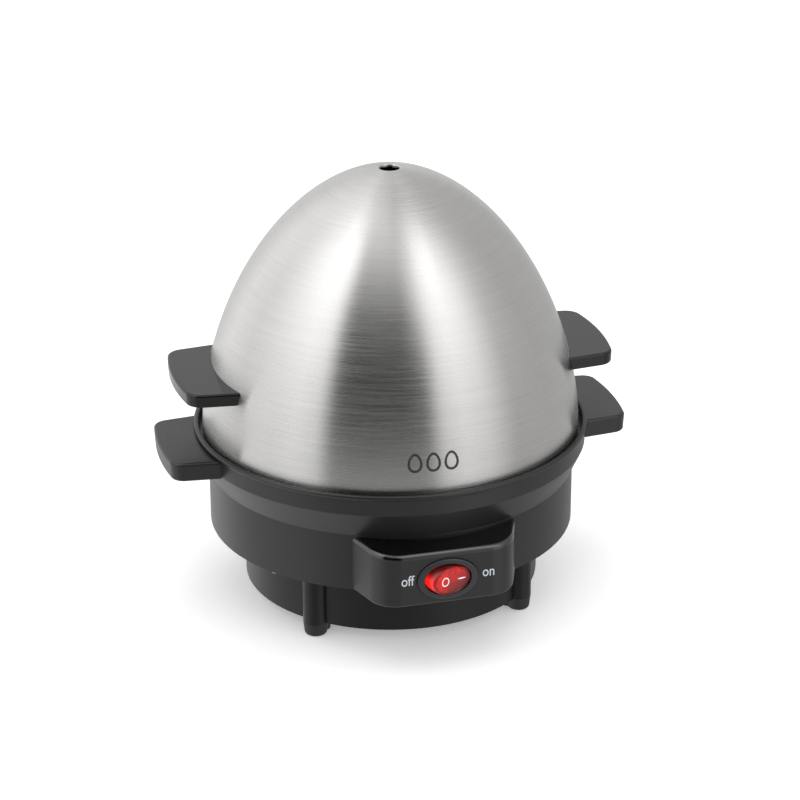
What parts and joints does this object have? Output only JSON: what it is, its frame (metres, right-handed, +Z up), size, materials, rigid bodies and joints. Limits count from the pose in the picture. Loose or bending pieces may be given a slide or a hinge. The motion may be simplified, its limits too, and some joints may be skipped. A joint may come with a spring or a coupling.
{
  "type": "egg cooker",
  "caption": "Steam egg cooker with a brushed steel dome lid, black plastic base, side handles and a lit rocker switch on the front.",
  "frame": {"origin": "centre of the footprint, on the floor under the feet; the dome's upright axis is on Z", "axes": "+Z up, the switch faces -Y, the handles point along +X and -X, the cord gland faces +Y"},
  "size_m": [0.1984, 0.185, 0.1843],
  "materials": {
    "steel_brushed": "circumferential brush grain, satin",
    "black_satin": "satin moulded",
    "black_gloss": "glossy moulded",
    "rubber_black": "matt",
    "rack_plastic": "satin moulded",
    "plate_coating": "pressed, non-stick coated",
    "silicone_red": "matt silicone",
    "aluminium_cast": "cast",
    "steel_zinc": "zinc plated",
    "brass": "plain",
    "fuse_sleeve": "woven glass sleeve",
    "bezel_grey": "semi-gloss moulded",
    "rocker_red": "clear red, lit",
    "rocker_white": "nylon",
    "lamp_glass": "neon lamp",
    "block_ceramic": "unglazed",
    "wire_brown": "extruded",
    "wire_blue": "extruded",
    "wire_white": "silicone insulated",
    "wire_green": "green and yellow"
  },
  "bodies": {
    "base": {"base_housing": "black_satin", "base_pan": "black_satin", "rubber_feet": "rubber_black", "case_screws": "steel_zinc", "cord_gland": "rubber_black", "gland_nut": "black_satin", "heating_plate": "plate_coating", "plate_seal": "silicone_red", "heating_element": "aluminium_cast", "plate_studs": "steel_zinc", "clamp_plate": "steel_zinc", "clamp_washers": "steel_zinc", "clamp_nuts": "steel_zinc", "earth_tag": "brass", "thermostat": "aluminium_cast", "thermostat_bracket": "steel_zinc", "thermal_fuse": "fuse_sleeve", "fuse_clip": "steel_zinc", "switch_frame": "bezel_grey", "switch_terminals": "brass", "neon_lamp": "lamp_glass", "terminal_block": "block_ceramic", "terminal_screws": "brass", "wire_live": "wire_brown", "wire_switched": "wire_brown", "wire_fuse": "wire_white", "wire_element": "wire_white", "wire_neutral": "wire_blue", "wire_earth": "wire_green"},
    "lid": {"lid_dome": "steel_brushed", "lid_handle_left": "black_gloss", "lid_handle_right": "black_gloss", "lid_handle_washers": "steel_zinc", "lid_handle_screws": "steel_zinc"},
    "egg_rack": {"egg_rack": "rack_plastic"},
    "rocker": {"switch_rocker": "rocker_red", "rocker_plunger": "rocker_white", "plunger_spring": "steel_zinc"},
    "contact": {"contact_arm": "brass"}
  },
  "joints": [
    {"name": "lid_lift", "type": "slide", "parent": "base", "child": "lid", "axis": [0, 0, 1], "range_m": [0, 0.16]},
    {"name": "rack_lift", "type": "slide", "parent": "base", "child": "egg_rack", "axis": [0, 0, 1], "range_m": [0, 0.08]},
    {"name": "rocker_turn", "type": "hinge", "parent": "base", "child": "rocker", "pos_m": [0, -0.087, 0.0411], "axis": [0, 0, -1], "range_deg": [0, 32]},
    {"name": "contact_turn", "type": "hinge", "parent": "base", "child": "contact", "pos_m": [0, -0.0739, 0.0411], "axis": [0, 0, -1], "range_deg": [-10, 0]}
  ],
  "couplings": [
    {"joint": "rack_lift", "follows": "lid_lift", "ratio": 0.5},
    {"joint": "contact_turn", "follows": "rocker_turn", "ratio": -0.3125}
  ]
}
